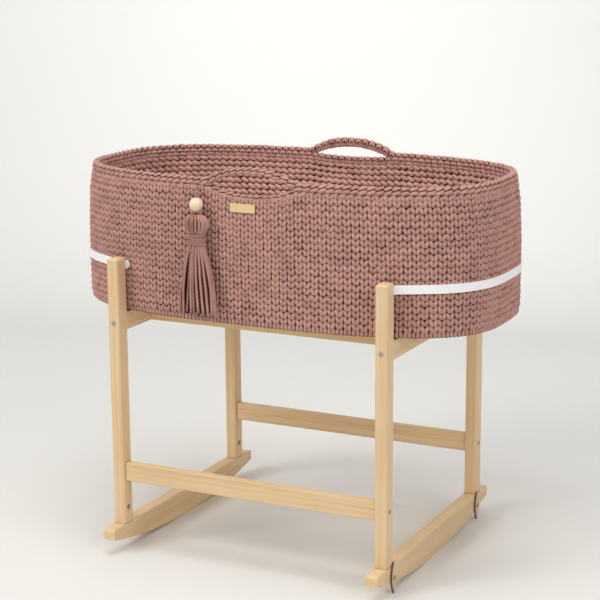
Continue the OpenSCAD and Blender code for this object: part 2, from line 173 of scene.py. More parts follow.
def srgb(red, green, blue):
    """A linear colour from the usual 0 to 255 values."""
    def linear(v):
        v /= 255
        return v / 12.92 if v <= 0.04045 else ((v + 0.055) / 1.055) ** 2.4
    return (linear(red), linear(green), linear(blue), 1.0)


# ---------------------------------------------------------------- materials

def new_material(name):
    material = bpy.data.materials.new(name)
    material.use_nodes = True
    return material, Graph(material.node_tree)


def finish_surface(graph, inputs):
    """The material's Principled shader and its output."""
    shader = graph.node("ShaderNodeBsdfPrincipled", {}, inputs)
    graph.node("ShaderNodeOutputMaterial", {}, {"Surface": shader})


def bump(graph, height, distance, strength=1.0):
    return graph.node("ShaderNodeBump", {}, {"Height": height, "Distance": distance, "Strength": strength})


def noise(graph, coords, scale, detail=3.0, rough=0.55):
    return graph.node("ShaderNodeTexNoise", {},
                      {"Vector": coords, "Scale": scale, "Detail": detail, "Roughness": rough})


def object_coords(graph, turn=(0, 0, 0), stretch=(1, 1, 1), shift=(0, 0, 0)):
    coords = graph.node("ShaderNodeTexCoord")["Object"]
    return graph.node("ShaderNodeMapping", {},
                      {"Vector": coords, "Rotation": turn, "Scale": stretch, "Location": shift})


def attribute(graph, name):
    return graph.node("ShaderNodeAttribute", {"attribute_name": name})["Fac"]


def yarn(name, light, dark):
    """Soft cotton cord with fine plies and fuzz: painted light on its crowns and painted shade between
    stitches, read from the crown attribute.
    """
    material, g = new_material(name)
    coords = object_coords(g)
    crown = attribute(g, "crown")
    shade = attribute(g, "shade")
    uv = g.node("ShaderNodeSeparateXYZ", {}, {"Vector": g.node("ShaderNodeUVMap", {"uv_map": "UVMap"})})
    plies = (uv["X"] * 900.0 + uv["Y"] * (4 * math.pi)).sin() * 0.5 + 0.5
    fuzz = noise(g, coords, 1400.0, 4.0, 0.7)
    flecks = noise(g, coords, 380.0, 3.0, 0.7)
    blotch = noise(g, coords, 24.0, 2.0)
    # Painted shade: points that lie deep between stitches, by the crown attribute, take the darker colour;
    # shade, blotch, fuzz and flecks are the cord's own random tone.
    depth = crown.ramp(0.08, 0.92)
    tone = (depth * 0.80 + (shade - 0.5) * 0.24 + (blotch - 0.5) * 0.30
            + (fuzz - 0.5) * 0.16 + (flecks - 0.5) * 0.55 + plies * 0.08)
    colour = g.mix(tone.ramp(0.0, 1.0), dark, light)
    height = plies * 0.5 + fuzz * 0.6 + flecks * 1.4
    finish_surface(g, {
        "Base Color": colour, "Roughness": 0.88, "Specular IOR Level": 0.25,
        "Sheen Weight": 0.14, "Sheen Roughness": 0.45, "Sheen Tint": srgb(236, 186, 172),
        "Normal": bump(g, height, 0.7 * MM, 0.8),
    })
    return material


def wood(name, axis, seed, light, dark, line):
    """Clear-lacquered beech with straight grain along one axis."""
    material, g = new_material(name)
    along = {"X": (2.2, 26.0, 26.0), "Y": (26.0, 2.2, 26.0), "Z": (26.0, 26.0, 2.2)}[axis]
    fine = tuple(v * (2.4 if v < 10 else 24.0) for v in along)
    fibre = tuple(v * (0.7 if v < 10 else 7.0) for v in along)
    shift = (seed * 3.7, seed * 1.9, seed * 2.3)
    broad = noise(g, object_coords(g, (0, 0, 0), along, shift), 1.0, 2.0, 0.5)
    lines = noise(g, object_coords(g, (0, 0, 0), fibre, shift), 1.0, 3.0)
    pores = noise(g, object_coords(g, (0, 0, 0), fine, shift), 1.0, 2.0, 0.6)
    rings = (broad * 34.0).sin() * 0.5 + 0.5
    flecks = pores.ramp(0.58, 0.72)
    cloud = noise(g, object_coords(g), 7.0, 2.0)
    tone = lines.ramp(0.28, 0.74) * 0.42 + rings * 0.12 + (cloud - 0.5) * 0.5
    colour = g.mix(tone, light, dark)
    colour = g.mix(flecks * 0.34, colour, line)
    height = rings * -0.25 + flecks * -0.8 + pores * 0.3
    finish_surface(g, {
        "Base Color": colour, "Roughness": 0.50 + flecks * 0.2 + (cloud - 0.5) * 0.12,
        "Specular IOR Level": 0.4, "Coat Weight": 0.10, "Coat Roughness": 0.35,
        "Normal": bump(g, height, 0.25 * MM, 0.5),
    })
    return material


def plywood(name, normal_axis, face, edge, layer_pitch, charred):
    """Birch plywood: a plain face veneer and layered edges, charred where a laser cut them."""
    material, g = new_material(name)
    coords = g.node("ShaderNodeTexCoord")["Object"]
    place = g.node("ShaderNodeSeparateXYZ", {}, {"Vector": coords})
    normal = g.node("ShaderNodeSeparateXYZ", {}, {"Vector": g.node("ShaderNodeTexCoord")["Normal"]})
    on_face = normal[normal_axis].abs().ramp(0.6, 0.8)
    grain = noise(g, object_coords(g, (0, 0, 0), (90.0, 90.0, 12.0)), 1.0, 3.0, 0.6)
    smoke = noise(g, coords, 60.0, 3.0)
    layers = ((place[normal_axis] * (math.pi / layer_pitch)).sin() * 0.5 + 0.5).ramp(0.3, 0.7)
    veneer = g.mix(grain.ramp(0.35, 0.7), face, tuple(c * 0.80 for c in face[:3]) + (1.0,))
    edge_dark = tuple(c * (0.35 if charred else 0.7) for c in edge[:3]) + (1.0,)
    side = g.mix(layers * 0.7 + smoke * 0.3, edge_dark, edge)
    finish_surface(g, {
        "Base Color": g.mix(on_face, side, veneer),
        "Roughness": 0.62 + (grain - 0.5) * 0.15,
        "Normal": bump(g, grain * 0.5 + layers * 0.5, 0.15 * MM, 0.5),
    })
    return material


def metal(name, colour, rough, stretch, dull=0.0):
    """Brushed metal, with scratches along the short side of the stretch."""
    material, g = new_material(name)
    brush = noise(g, object_coords(g, (0, 0, 0), stretch), 1.0, 3.0, 0.65)
    stain = noise(g, object_coords(g), 110.0, 3.0)
    worn = tuple(c * 0.72 for c in colour[:3]) + (1.0,)
    finish_surface(g, {
        "Base Color": g.mix(stain.ramp(0.45, 0.75) * 0.5 + brush * 0.25 + dull, colour, worn),
        "Metallic": 1.0,
        "Roughness": rough + (brush - 0.5) * 0.20 + (stain - 0.5) * 0.10,
        "Normal": bump(g, brush, 0.05 * MM, 0.4),
    })
    return material


def webbing(name):
    """Smooth white satin webbing with fine lengthwise ribs."""
    material, g = new_material(name)
    coords = g.node("ShaderNodeTexCoord")["Object"]
    place = g.node("ShaderNodeSeparateXYZ", {}, {"Vector": coords})
    ribs = (place["Z"] * (2 * math.pi / (1.1 * MM))).sin() * 0.5 + 0.5
    weft = noise(g, coords, 900.0, 2.0)
    tone = noise(g, coords, 14.0, 2.0)
    finish_surface(g, {
        "Base Color": g.mix(tone, srgb(253, 252, 252), srgb(244, 243, 244)),
        "Roughness": 0.36 + ribs * 0.10 + (weft - 0.5) * 0.1,
        "Sheen Weight": 0.2, "Specular IOR Level": 0.5,
        "Normal": bump(g, ribs * 0.6 + weft * 0.4, 0.10 * MM, 0.5),
    })
    return material


def cotton(name, colour, shadow):
    """A woven cotton cover with a visible plain weave."""
    material, g = new_material(name)
    coords = g.node("ShaderNodeTexCoord")["Object"]
    place = g.node("ShaderNodeSeparateXYZ", {}, {"Vector": coords})
    thread = 2 * math.pi / (1.4 * MM)
    warp = (place["X"] * thread).sin()
    weft = (place["Y"] * thread).sin()
    weave = warp * weft * 0.5 + 0.5
    slub = noise(g, coords, 160.0, 3.0)
    finish_surface(g, {
        "Base Color": g.mix(weave * 0.25 + slub * 0.4, colour, shadow),
        "Roughness": 0.85, "Sheen Weight": 0.25,
        "Normal": bump(g, weave * 0.6 + slub * 0.6, 0.15 * MM, 0.6),
    })
    return material


def matt(name, colour, deep):
    """A plain matt surface, a little uneven in tone."""
    material, g = new_material(name)
    tone = noise(g, object_coords(g), 1.5, 2.0)
    finish_surface(g, {"Base Color": g.mix(tone, colour, deep), "Roughness": 0.9,
                       "Specular IOR Level": 0.1})
    return material


BEECH_LIGHT = srgb(232, 203, 160)
BEECH_DARK = srgb(209, 169, 120)
BEECH_LINE = srgb(176, 132, 88)
# The second colour of each cord is its painted shade, for points that lie deep between stitches.
ROSE = yarn("rose_cord", srgb(200, 153, 142), srgb(82, 38, 30))
# Painted light: the inside's cord is paler than the outside's, to stand in for light that the basket's
# inside lacks.
ROSE_INSIDE_PAINTED_LIGHT = yarn("rose_cord_inside_painted_light", srgb(212, 164, 152), srgb(104, 58, 49))
# Painted shade: a near-black rose for the cores that fill the gaps between stitches.
ROSE_SHADE_CORE = yarn("rose_cord_painted_shade", srgb(98, 50, 41), srgb(62, 30, 24))
BIRCH_STOPPER = plywood("stopper_ply", "X", srgb(222, 192, 166), srgb(150, 104, 76), 1.3 * MM, True)
BIRCH_BOARD = plywood("base_board_ply", "Z", srgb(224, 198, 164), srgb(196, 160, 120), 1.6 * MM, False)
BEAD_WOOD = wood("bead_wood", "Z", 5, srgb(240, 220, 190), srgb(226, 200, 164), srgb(204, 170, 130))
ZINC = metal("zinc_steel", (0.58, 0.52, 0.44, 1.0), 0.40, (500.0, 500.0, 60.0))
NUT_STEEL = metal("nut_steel", (0.20, 0.17, 0.14, 1.0), 0.45, (500.0, 500.0, 60.0))
DARK_STEEL = metal("dark_steel", (0.16, 0.15, 0.15, 1.0), 0.42, (500.0, 500.0, 60.0))
BRASS = metal("brass_plate", srgb(255, 228, 174), 0.40, (30.0, 500.0, 400.0), -0.3)
WEBBING = webbing("satin_webbing")
COVER = cotton("mattress_cover", srgb(235, 231, 223), srgb(212, 206, 196))


# ---------------------------------------------------------------- mesh helpers

def link(obj):
    bpy.context.scene.collection.objects.link(obj)
    return obj


def mesh_object(name, verts, faces, material=None):
    """A smooth-shaded object from points and faces."""
    mesh = bpy.data.meshes.new(name)
    mesh.from_pydata([tuple(v) for v in verts], [], faces)
    mesh.update()
    mesh.polygons.foreach_set("use_smooth", [True] * len(mesh.polygons))
    if material:
        mesh.materials.append(material)
    return link(bpy.data.objects.new(name, mesh))


class Cordwork:
    """Collects swept strokes of cord into one mesh."""

    def __init__(self):
        self.verts = []
        self.faces = []
        self.uvs = []

    def stroke(self, path, radii, sides=8, closed=False):
        """Sweeps a round cord along a path, with one radius or a radius at each point."""
        path = [Vector(p) for p in path]
        count = len(path)
        if isinstance(radii, (int, float)):
            radii = [radii] * count
        first = len(self.verts)
        across = None
        length = 0.0
        along = []
        for i, point in enumerate(path):
            before = path[(i - 1) % count] if closed or i else path[0]
            after = path[(i + 1) % count] if closed or i < count - 1 else path[-1]
            tangent = (after - before).normalized()
            if across is None:
                across = Vector((0, 1, 0)) if abs(tangent.y) < 0.9 else Vector((1, 0, 0))
            across = (across - tangent * across.dot(tangent)).normalized()
            side = tangent.cross(across)
            if i:
                length += (point - path[i - 1]).length
            along.append(length)
            for k in range(sides):
                turn = 2 * math.pi * k / sides
                offset = across * (math.cos(turn) * radii[i]) + side * (math.sin(turn) * radii[i])
                self.verts.append(point + offset)
        spans = count if closed else count - 1
        for i in range(spans):
            m = (i + 1) % count
            u0 = along[i]
            u1 = along[i + 1] if i + 1 < count else along[i] + (path[0] - path[-1]).length
            for k in range(sides):
                n = (k + 1) % sides
                self.faces.append((first + i * sides + k, first + i * sides + n,
                                   first + m * sides + n, first + m * sides + k))
                v0, v1 = k / sides, (k + 1) / sides
                self.uvs.append(((u0, v0), (u0, v1), (u1, v1), (u1, v0)))
        if not closed:
            self._cap(first, path[0], sides, along[0], False)
            self._cap(first + (count - 1) * sides, path[-1], sides, along[-1], True)

    def _cap(self, ring, point, sides, u, last):
        pole = len(self.verts)
        self.verts.append(point)
        for k in range(sides):
            n = (k + 1) % sides
            tri = (ring + k, ring + n, pole) if last else (ring + n, ring + k, pole)
            self.faces.append(tri)
            self.uvs.append(((u, k / sides), (u, (k + 1) / sides), (u, (k + 0.5) / sides)))

    def build(self, name, material, crown):
        """The finished object. crown gives each point's share of painted light, from 0 where it lies deep in
        painted shade to 1 where it is proud.
        """
        obj = mesh_object(name, self.verts, self.faces, material)
        layer = obj.data.uv_layers.new(name="UVMap")
        layer.data.foreach_set("uv", [c for face in self.uvs for corner in face for c in corner])
        paint(obj, "crown", [crown(v) for v in self.verts])
        return obj


def paint(obj, name, values):
    """Stores one number for each point of a mesh."""
    made = obj.data.attributes.new(name, "FLOAT", "POINT")
    made.data.foreach_set("value", values)


def smooth_path(points, steps):
    """A Catmull-Rom curve through the points, as a list of steps points for each span."""
    pts = [Vector(p) for p in points]
    out = []
    for i in range(len(pts) - 1):
        p0, p1, p2 = pts[max(i - 1, 0)], pts[i], pts[i + 1]
        p3 = pts[min(i + 2, len(pts) - 1)]
        for s in range(steps):
            t = s / steps
            out.append(0.5 * (2 * p1 + (p2 - p0) * t + (2 * p0 - 5 * p1 + 4 * p2 - p3) * t ** 2
                              + (3 * p1 - p0 - 3 * p2 + p3) * t ** 3))
    out.append(pts[-1])
    return out


# ---------------------------------------------------------------- the basket's outline

def oval_point(a, b, turn):
    """The point of an oval of half-length a and half-width b that lies in a direction."""
    long_part = (abs(math.cos(turn)) / a) ** SQUARENESS
    wide_part = (abs(math.sin(turn)) / b) ** SQUARENESS
    reach = (long_part + wide_part) ** (-1 / SQUARENESS)
    return Vector((reach * math.cos(turn), reach * math.sin(turn), 0))


def oval_walk(inset, count, offset=0.0):
    """Points at equal steps round the oval: place, direction of travel and outward direction."""
    fine = 1440
    ring = [oval_point(OVAL_A - inset, OVAL_B - inset, 2 * math.pi * i / fine) for i in range(fine + 1)]
    run = np.concatenate([[0.0], np.cumsum([(ring[i + 1] - ring[i]).length for i in range(fine)])])
    stops = (np.arange(count) + offset) / count * run[-1]
    xs = np.interp(stops, run, [p.x for p in ring])
    ys = np.interp(stops, run, [p.y for p in ring])
    places = [Vector((x, y, 0)) for x, y in zip(xs, ys)]
    walk = []
    for i, place in enumerate(places):
        along = (places[(i + 1) % count] - places[i - 1]).normalized()
        walk.append((place, along, Vector((along.y, -along.x, 0))))
    return walk, run[-1] / count


def wall_inset(z):
    """How far the wall stands in from the full outline at a height: round below, leaning in above."""
    high = WALL_Z - SEAT_Z
    heights = [0, 5 * MM, 12 * MM, 22 * MM, high - 35 * MM, high - 12 * MM, high]
    insets = [9 * MM, 4 * MM, 1 * MM, 0, 0, 2.5 * MM, 4 * MM]
    return float(np.interp(z - SEAT_Z, heights, insets))


def handle_lift(x):
    """How far the rim leaves the wall to make the handles."""
    share = abs(x - HANDLE_X) / (HANDLE_LONG / 2)
    return HANDLE_RISE * (1 - share ** 2.2) if share < 1 else 0.0


COLUMNS = round(oval_walk(0.0, 60)[1] * 60 / STITCH_WIDE)
ROWS = round((WALL_Z - CHAIN_HIGH - SEAT_Z - EDGE_ROW) / STITCH_HIGH)


# ---------------------------------------------------------------- laying stitches

def stitch_tree():
    """Geometry Nodes that put one stitch on each guide point, turned and sized by its attributes."""
    tree = bpy.data.node_groups.new("lay_stitches", "GeometryNodeTree")
    face = tree.interface
    sockets = [("Geometry", "NodeSocketGeometry", None), ("Stitch", "NodeSocketObject", None),
               ("Turn Jitter", "NodeSocketFloat", 0.06), ("Size Jitter", "NodeSocketFloat", 0.05),
               ("Material", "NodeSocketMaterial", None), ("Seed", "NodeSocketInt", 1)]
    for name, kind, default in sockets:
        made = face.new_socket(name=name, in_out="INPUT", socket_type=kind)
        if default is not None:
            made.default_value = default
    face.new_socket(name="Geometry", in_out="OUTPUT", socket_type="NodeSocketGeometry")
    g = Graph(tree)
    given = g.node("NodeGroupInput")

    def vector_attribute(name):
        return g.node("GeometryNodeInputNamedAttribute", {"data_type": "FLOAT_VECTOR"}, {"Name": name})

    facing = g.node("FunctionNodeAxesToRotation", {"primary_axis": "Z", "secondary_axis": "X"},
                    {"Primary Axis": vector_attribute("up"), "Secondary Axis": vector_attribute("along")})
    tilt = g.node("FunctionNodeRandomValue", {"data_type": "FLOAT"},
                  {"Min": -1.0, "Max": 1.0, "Seed": given["Seed"]})
    swing = g.node("ShaderNodeCombineXYZ", {}, {"Y": switched_on(tilt) * given["Turn Jitter"]})
    turned = g.node("FunctionNodeRotateRotation", {"rotation_space": "LOCAL"},
                    {"Rotation": facing, "Rotate By": g.node("FunctionNodeEulerToRotation", {},
                                                             {"Euler": swing})})
    grow = g.node("FunctionNodeRandomValue", {"data_type": "FLOAT"},
                  {"Min": -1.0, "Max": 1.0, "Seed": given["Seed"] + 31})
    factor = switched_on(grow) * given["Size Jitter"] + 1.0
    size = g.node("ShaderNodeVectorMath", {"operation": "SCALE"},
                  {"Vector": vector_attribute("size"), "Scale": factor})
    stitch = g.node("GeometryNodeObjectInfo", {}, {"Object": given["Stitch"]})["Geometry"]
    laid = g.node("GeometryNodeInstanceOnPoints", {},
                  {"Points": given["Geometry"], "Instance": stitch, "Rotation": turned, "Scale": size})
    tone = g.node("FunctionNodeRandomValue", {"data_type": "FLOAT"},
                  {"Min": 0.0, "Max": 1.0, "Seed": given["Seed"] + 57})
    toned = g.node("GeometryNodeStoreNamedAttribute", {"data_type": "FLOAT", "domain": "INSTANCE"},
                   {"Geometry": laid, "Name": "shade", "Value": switched_on(tone)})
    solid = g.node("GeometryNodeRealizeInstances", {}, {"Geometry": toned})
    painted = g.node("GeometryNodeSetMaterial", {}, {"Geometry": solid, "Material": given["Material"]})
    g.node("NodeGroupOutput", {}, {"Geometry": painted})
    return tree


STITCH_TREE = stitch_tree()


def lay(name, stitch, spots, material, seed, jitter):
    """Lays a stitch at each spot: place, direction along, direction up and size."""
    turn, size = jitter
    guide = mesh_object(name + "_guide", [s[0] for s in spots], [])
    for key, index in (("along", 1), ("up", 2), ("size", 3)):
        made = guide.data.attributes.new(key, "FLOAT_VECTOR", "POINT")
        made.data.foreach_set("vector", [c for s in spots for c in s[index]])
    modifier = guide.modifiers.new("stitches", "NODES")
    modifier.node_group = STITCH_TREE
    given = {"Stitch": stitch, "Turn Jitter": turn, "Size Jitter": size, "Material": material, "Seed": seed}
    for item in STITCH_TREE.interface.items_tree:
        if item.in_out == "INPUT" and item.name in given:
            modifier[item.identifier] = given[item.name]
    mesh = bpy.data.meshes.new_from_object(guide.evaluated_get(bpy.context.evaluated_depsgraph_get()))
    mesh.name = name
    bpy.data.objects.remove(guide)
    return link(bpy.data.objects.new(name, mesh))


def helper(cordwork, name, crown):
    """A stitch to copy. It is removed when the basket is done."""
    obj = cordwork.build(name, ROSE, crown)
    obj.hide_render = True
    return obj


def share(low, high):
    """A function that says how far outwards a stitch's point lies, from 0 to 1; the yarn paints points near
    0 with shade.
    """
    return lambda v: min(1.0, max(0.0, (v.y - low) / (high - low)))


def drawn(path):
    """A stitch's path, from the units it is drawn in to metres."""
    return [Vector(p) * YARN for p in path]


def v_stitch():
    """One V of the outside: two plump drops side by side, with a round foot over the row below."""
    work = Cordwork()
    for s in (-1, 1):
        path = [(0.7 * s, 8.4, -10.0), (2.3 * s, 4.2, -7.4), (4.1 * s, 3.1, -3.0),
                (5.3 * s, 4.0, 1.0), (6.3 * s, 6.0, 4.6), (6.6 * s, 9.0, 7.8)]
        work.stroke(drawn(path), [r * YARN for r in (2.0, 3.6, 4.7, 4.6, 4.0, 2.6)])
    proud = share(7.2 * YARN, 1.0 * YARN)

    # Painted shade: points that lie deep get darker, and more so just under the foot of the stitch above.
    def crown(v):
        shade_under_foot = min(1.0, max(0.0, (v.z / YARN - 0.5) / 4.5)) * max(0.0, 1 - abs(v.x) / (9 * YARN))
        return proud(v) * (1 - 0.7 * shade_under_foot)

    return helper(work, "v_stitch", crown)


def back_stitch():
    """One bump of the inside, slanting down to the right, with the short leg under it."""
    work = Cordwork()
    main = [(-10.8, 7.0, 4.0), (-5.6, 5.2, 3.4), (0.0, 4.6, 1.2), (5.6, 5.2, -1.4), (10.8, 7.0, -2.6)]
    work.stroke(drawn(main), [r * YARN for r in (4.0, 5.3, 5.8, 5.3, 4.0)], sides=7)
    leg = [(-6.0, 7.0, -3.6), (-3.2, 6.2, -5.8), (-0.4, 6.4, -8.2), (1.6, 8.6, -10.4)]
    work.stroke(drawn(leg), [r * YARN for r in (2.4, 3.4, 3.3, 2.2)], sides=6)
    # Painted shade: points that lie deep in the bump get darker.
    return helper(work, "back_stitch", share(7.6 * YARN, 1.0 * YARN))


def rim_link():
    """One link of the rim: a long low drop outside, one on top, and ribs under a bump inside."""
    work = Cordwork()
    strands = [
        ([(-12.0, -1.0, -7.4), (-7.5, -4.4, -6.4), (0.0, -5.6, -4.5), (7.0, -4.4, -2.2), (11.0, -1.4, -0.8)],
         (2.0, 3.8, 4.6, 3.8, 2.0)),
        ([(-12.0, -2.0, 0.8), (-7.0, -4.0, 2.2), (0.0, -3.2, 4.3), (6.5, -1.2, 5.4), (11.0, 1.4, 4.6)],
         (2.0, 3.5, 4.2, 3.5, 2.0)),
        ([(-6.2, 3.4, -1.6), (-5.0, 4.6, 2.2), (-0.5, 4.4, 4.4), (4.4, 4.8, 2.0), (5.4, 3.4, -2.0)],
         (2.4, 3.3, 3.7, 3.3, 2.4)),
        ([(-8.4, 2.6, 2.8), (-8.2, 3.4, 0.0), (-7.8, 3.8, -4.6), (-7.2, 1.8, -8.8)], (1.8, 2.7, 3.1, 2.6)),
        ([(-2.0, 3.0, 0.4), (-1.8, 3.6, -2.4), (-1.2, 3.7, -5.6), (-0.8, 1.8, -8.8)], (2.2, 3.0, 3.1, 2.6)),
        ([(3.6, 3.0, -0.4), (4.2, 3.5, -2.8), (4.8, 3.6, -5.8), (5.2, 1.8, -8.8)], (2.0, 2.9, 3.0, 2.6)),
        ([(-8.0, -2.0, -6.6), (0.0, -0.6, -7.0), (8.0, -2.0, -6.6)], (2.6, 3.2, 2.6)),
    ]
    for path, radii in strands:
        work.stroke(drawn(path), [r * YARN for r in radii])

    # Painted shade: points near the link's middle line get darker.
    def crown(v):
        return min(1.0, max(0.0, (math.hypot(v.y * 0.9, v.z) / YARN - 3.4) / 4.4))

    return helper(work, "rim_link", crown)


def edge_stitch():
    """A short upright stitch at the foot of the wall, curling under the base board."""
    work = Cordwork()
    path = [(0.3, 12.0, -4.2), (0.2, 7.2, -4.9), (-0.2, 4.2, -1.6), (0.2, 4.8, 4.2), (0.0, 8.6, 8.4)]
    work.stroke(drawn(path), [r * YARN for r in (2.8, 3.8, 4.5, 4.3, 2.4)])
    # Painted shade: points that lie deep get darker.
    return helper(work, "edge_stitch", share(8.4 * YARN, 1.0 * YARN))


def wall_spots(rows, inside, offset):
    """Spots for the stitches of the given rows of the wall, on its outer or inner face."""
    spots = []
    rng = random.Random(90 + rows[0])
    for row in rows:
        tucked = row == ROWS
        z = WALL_Z - TUCK_DROP if tucked else SEAT_Z + EDGE_ROW + STITCH_HIGH * (row + 0.5)
        inset = wall_inset(z) + (WALL_THICK if inside else 0.0)
        walk, step = oval_walk(inset, COLUMNS, offset)
        for place, along, out in walk:
            size = (step / STITCH_WIDE, 1.0, 0.75 if tucked else 1.0)
            stray = along * rng.gauss(0, STRAY) + UP * rng.gauss(0, STRAY) + out * rng.gauss(0, STRAY_OUT)
            spots.append((settle(place + UP * z) + stray, -along if inside else along, UP, size))
    return spots


def lean(place):
    """Draws the basket's two ends in towards its top."""
    rise = min(1.0, max(0.0, (place.z - SEAT_Z) / (WALL_Z - SEAT_Z) * 2 - 1))
    return Vector((place.x * (1 - END_LEAN * rise * rise * (3 - 2 * rise)), place.y, place.z))


def settle(place):
    """Leans the wall in, and lets it sag under each handle, where the rim no longer holds it up."""
    place = lean(place)
    across = abs(place.x - HANDLE_X) / (HANDLE_LONG / 2)
    near_top = max(0.0, 1 - (WALL_Z - place.z) / SAG_REACH)
    most = FRONT_SAG if place.y < 0 else REAR_SAG
    fall = most * (1 - across ** 2.4) * near_top if across < 1 else 0.0
    return place - UP * fall


def rim_spots():
    """Spots of the rim's links, which rise over the handles."""
    walk, _ = oval_walk(RIM_INSET, COLUMNS, 0.25)
    return chain_spots([lean(p + UP * rim_height(p.x)) for p, _, _ in walk], 0.76, 1.25)


def rim_height(x):
    """Height of the rim's middle line."""
    return RIM_TOP.z - HANDLE_RISE - RIM_DROP + handle_lift(x)


def chain_spots(places, front, rear):
    """Spots for links in a row. front and rear say how tall a link is in the middle of each handle."""
    spots = []
    count = len(places)
    for i, place in enumerate(places):
        along = places[(i + 1) % count] - places[i - 1]
        stretch = along.length / 2 / STITCH_WIDE
        along.normalize()
        up = (UP - along * UP.dot(along)).normalized()
        across = abs(place.x - HANDLE_X) / (HANDLE_LONG / 2)
        most = rear if place.y > 0 else front
        size = 1.0 if across > 1 else most + (1 - most) * across ** 4
        spots.append((place, along, up, (stretch, 1.0, size)))
    return spots


def lip_spots():
    """Spots of the braid just under the rim, which makes the lower lip of each handle's slot."""
    z = WALL_Z + LIP_RISE
    walk, _ = oval_walk(RIM_INSET + 0.8 * MM, COLUMNS, 0.75)
    return chain_spots([settle(p + UP * z) for p, _, _ in walk], 0.74, 1.0)


def edge_spots():
    """Spots of the short stitches at the foot, two to each stitch of the wall."""
    z = SEAT_Z + 8.0 * MM
    walk, step = oval_walk(1.2 * MM, COLUMNS * 2, 0.5)
    return [(p + UP * z, along, UP, (step / (STITCH_WIDE / 2), 1.0, 1.0)) for p, along, _ in walk]


def ring_shell(name, rings, material, closed=False):
    """A skin over rings of points, one ring after another."""
    count = len(rings[0])
    last = len(rings) if closed else len(rings) - 1
    faces = []
    for i in range(last):
        m = (i + 1) % len(rings)
        for j in range(count):
            k = (j + 1) % count
            faces.append((i * count + j, i * count + k, m * count + k, m * count + j))
    obj = mesh_object(name, [p for ring in rings for p in ring], faces, material)
    obj.data.uv_layers.new(name="UVMap")
    return obj


def wall_core():
    """The inner thickness of the wall, which closes the gaps between stitches; it is painted dark as the
    shade seen in those gaps.
    """
    steps, levels = 360, 24
    low, high = SEAT_Z + 2 * MM, WALL_Z + 4 * MM

    def ring(level, outer):
        z = low + (high - low) * level / levels
        foot = z < SEAT_Z + 6 * MM
        inset = max(wall_inset(z) + (5.4 if outer else 8.6) * MM, (8 if outer else 9.5) * MM if foot else 0)
        if z > WALL_Z - CHAIN_HIGH:
            inset = RIM_INSET + (-1.5 if outer else 1.5) * MM
        points = []
        for p, _, _ in oval_walk(inset, steps)[0]:
            opened = handle_lift(p.x) > 0.4 * MM
            points.append(settle(p + UP * (min(z, WALL_Z) if opened else z)))
        return points

    rings = [ring(i, True) for i in range(levels + 1)] + [ring(i, False) for i in range(levels, -1, -1)]
    return ring_shell("wall_core", rings, ROSE_SHADE_CORE, closed=True)


def rim_core():
    """The inner cord of the rim and the handles, painted dark as the shade seen between their links."""
    walk, _ = oval_walk(RIM_INSET, 480)
    sides = 12
    rings = []
    for k in range(sides):
        turn = 2 * math.pi * k / sides
        across, rise = 3.2 * MM * math.cos(turn), 4.8 * MM * math.sin(turn) - 0.6 * MM
        rings.append([lean(p + out * across + UP * (rim_height(p.x) + rise)) for p, _, out in walk])
    return ring_shell("rim_core", rings, ROSE_SHADE_CORE, closed=True)


def build_basket():
    """The crochet wall inside and out, in bands of rows, then its braids, foot and the inner cores, which
    are painted dark as shade.
    """
    made = []
    v, back, rim, edge = v_stitch(), back_stitch(), rim_link(), edge_stitch()
    bands = 4
    for i in range(bands):
        rows = range(i * ROWS // bands, (i + 1) * ROWS // bands + (i == bands - 1))
        outer, inner = wall_spots(rows, False, 0.0), wall_spots(rows, True, 0.5)
        made.append(lay(f"outside_stitches_{i + 1}", v, outer, ROSE, 3 + i, OUTSIDE_JITTER))
        # The inside's stitches take the paler cord, which is painted light.
        made.append(lay(f"inside_stitches_{i + 1}", back, inner, ROSE_INSIDE_PAINTED_LIGHT, 43 + i, INSIDE_JITTER))
    made.append(lay("lip_braid", rim, lip_spots(), ROSE, 21, BRAID_JITTER))
    made.append(lay("edge_stitches", edge, edge_spots(), ROSE, 25, EDGE_JITTER))
    core = wall_core()
    for piece in made + [core]:
        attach(piece, "basket")
        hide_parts("basket_wall")
    for piece in (lay("rim_braid", rim, rim_spots(), ROSE, 23, BRAID_JITTER), rim_core()):
        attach(piece, "basket")
        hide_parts("rim_band")
    for stitch in (v, back, rim, edge):
        bpy.data.objects.remove(stitch)


# ---------------------------------------------------------------- tassel

HEAD_LOW, HEAD_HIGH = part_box("tassel_head")
BAND_LOW, BAND_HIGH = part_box("tassel_band")
SKIRT_LOW, SKIRT_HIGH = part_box("tassel_skirt")
TASSEL_MIDDLE = (HEAD_LOW + HEAD_HIGH) / 2


def tassel_outline():
    """The tassel's heights, half-widths and half-depths, from the frame's solids."""
    head, skirt = HEAD_HIGH - HEAD_LOW, SKIRT_HIGH - SKIRT_LOW
    heights = [SKIRT_LOW.z, SKIRT_LOW.z + skirt.z * 0.35, SKIRT_LOW.z + skirt.z * 0.72, SKIRT_HIGH.z,
               BAND_HIGH.z, HEAD_LOW.z + head.z * 0.28, HEAD_LOW.z + head.z * 0.62,
               HEAD_LOW.z + head.z * 0.88, HEAD_HIGH.z]
    wide = [skirt.x * 0.5, skirt.x * 0.45, skirt.x * 0.335, skirt.x * 0.195, skirt.x * 0.195,
            head.x * 0.455, head.x * 0.5, head.x * 0.34, head.x * 0.08]
    deep = [0.5, 0.49, 0.44, 0.34, 0.34, 0.47, 0.5, 0.38, 0.12]
    return heights, wide, [d * head.y for d in deep]


TASSEL_OUTLINE = tassel_outline()


def tassel_profile(z):
    """The tassel's half-width and half-depth at a height."""
    heights, wide, deep = TASSEL_OUTLINE
    return float(np.interp(z, heights, wide)), float(np.interp(z, heights, deep))


def strand_radius(z):
    """A strand is squeezed by the band, thinner over the head and full where it hangs."""
    if BAND_LOW.z - MM <= z <= BAND_HIGH.z + MM:
        return TASSEL_CORD * 0.6
    if z > HEAD_HIGH.z - 6 * MM:
        return TASSEL_CORD * 0.62
    return TASSEL_CORD * (0.84 if z > BAND_HIGH.z else 1.0)


